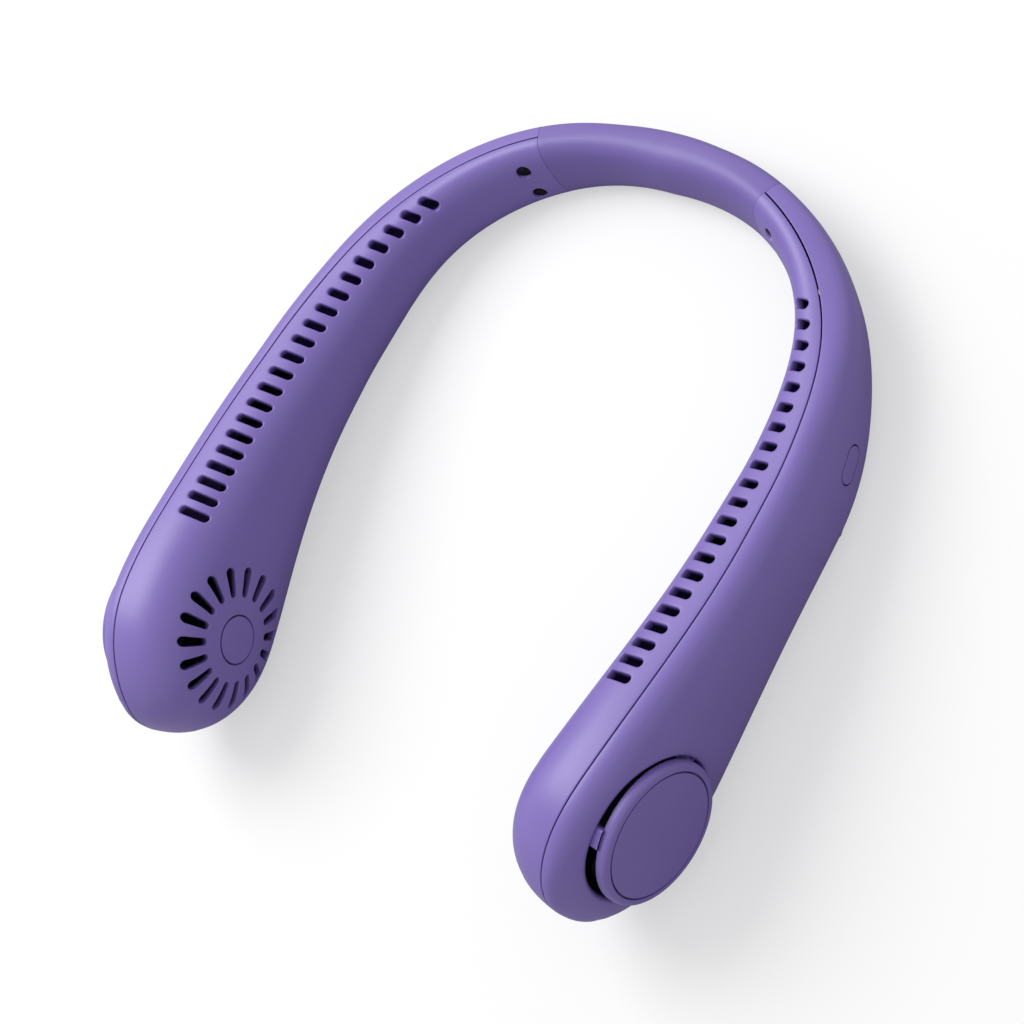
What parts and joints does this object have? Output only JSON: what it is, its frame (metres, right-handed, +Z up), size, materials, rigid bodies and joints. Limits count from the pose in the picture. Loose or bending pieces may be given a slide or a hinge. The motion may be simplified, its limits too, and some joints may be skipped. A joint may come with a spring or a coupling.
{
  "type": "neck fan",
  "caption": "Bladeless neck fan: a U-shaped collar with a turbo fan in each rounded head, outlet slots along the arms, and a soft flexible band behind the neck.",
  "frame": {"origin": "on the surface it lies on, under the middle of the bounding box", "axes": "+Z up, +Y from the fan heads to the nape band, +X to the arm with the power button"},
  "size_m": [0.1728, 0.1909, 0.0493],
  "materials": {
    "shell": "satin violet moulded plastic",
    "cap": "satin violet moulded plastic",
    "disc": "fine matt violet plastic",
    "band": "soft-touch violet silicone",
    "dark_plastic": "dark moulded plastic",
    "steel": "plain steel",
    "bronze": "sintered bronze",
    "winding": "enamelled copper on laminations",
    "magnet": "bonded ferrite",
    "cell": "foil pouch",
    "board": "green solder mask",
    "wire": "black sleeving"
  },
  "bodies": {
    "nape": {"neck_band": "band", "spring_strip": "steel", "wire_loom": "wire"},
    "left_arm": {"left_inner_shell": "shell", "left_outer_shell": "shell", "left_intake_cap": "cap", "left_cap_disc": "disc", "left_grille_disc": "disc", "left_fan_housing": "dark_plastic", "left_motor_mount": "dark_plastic", "left_bearing": "bronze", "left_stator": "winding", "left_duct_floor": "dark_plastic", "left_battery": "cell", "left_band_plug": "dark_plastic", "left_band_screws": "steel"},
    "left_fan": {"left_impeller": "dark_plastic", "left_rotor_cup": "steel", "left_magnet_ring": "magnet", "left_shaft": "steel"},
    "right_arm": {"right_inner_shell": "shell", "right_outer_shell": "shell", "right_intake_cap": "cap", "right_cap_disc": "disc", "right_grille_disc": "disc", "right_fan_housing": "dark_plastic", "right_motor_mount": "dark_plastic", "right_bearing": "bronze", "right_stator": "winding", "right_duct_floor": "dark_plastic", "right_battery": "cell", "right_band_plug": "dark_plastic", "right_band_screws": "steel", "main_board": "board", "button_switch": "dark_plastic", "charging_socket": "steel"},
    "right_fan": {"right_impeller": "dark_plastic", "right_rotor_cup": "steel", "right_magnet_ring": "magnet", "right_shaft": "steel"},
    "button": {"power_button": "shell", "switch_stem": "dark_plastic"}
  },
  "joints": [
    {"name": "left_arm_flex", "type": "hinge", "parent": "nape", "child": "left_arm", "pos_m": [-0.01784, 0.08675, 0.00942], "axis": [0, 0, -1], "range_deg": [-4, 12], "stiffness_Nm_per_rad": 1.5, "deforming": ["neck_band", "spring_strip", "wire_loom"]},
    {"name": "left_fan_spin", "type": "hinge", "parent": "left_arm", "child": "left_fan", "pos_m": [-0.07294, -0.06913, 0.02477], "axis": [-0.9902, -0.1394, 0], "continuous": true},
    {"name": "right_arm_flex", "type": "hinge", "parent": "nape", "child": "right_arm", "pos_m": [0.01784, 0.08675, 0.00942], "axis": [0, 0, 1], "range_deg": [-4, 12], "stiffness_Nm_per_rad": 1.5, "deforming": ["neck_band", "spring_strip", "wire_loom"]},
    {"name": "right_fan_spin", "type": "hinge", "parent": "right_arm", "child": "right_fan", "pos_m": [0.07294, -0.06913, 0.02477], "axis": [0.9902, -0.1394, 0], "continuous": true},
    {"name": "power_button_press", "type": "slide", "parent": "right_arm", "child": "button", "axis": [-0.9823, -0.1875, 0], "range_m": [0, 0.0005], "stiffness_N_per_m": 800}
  ]
}
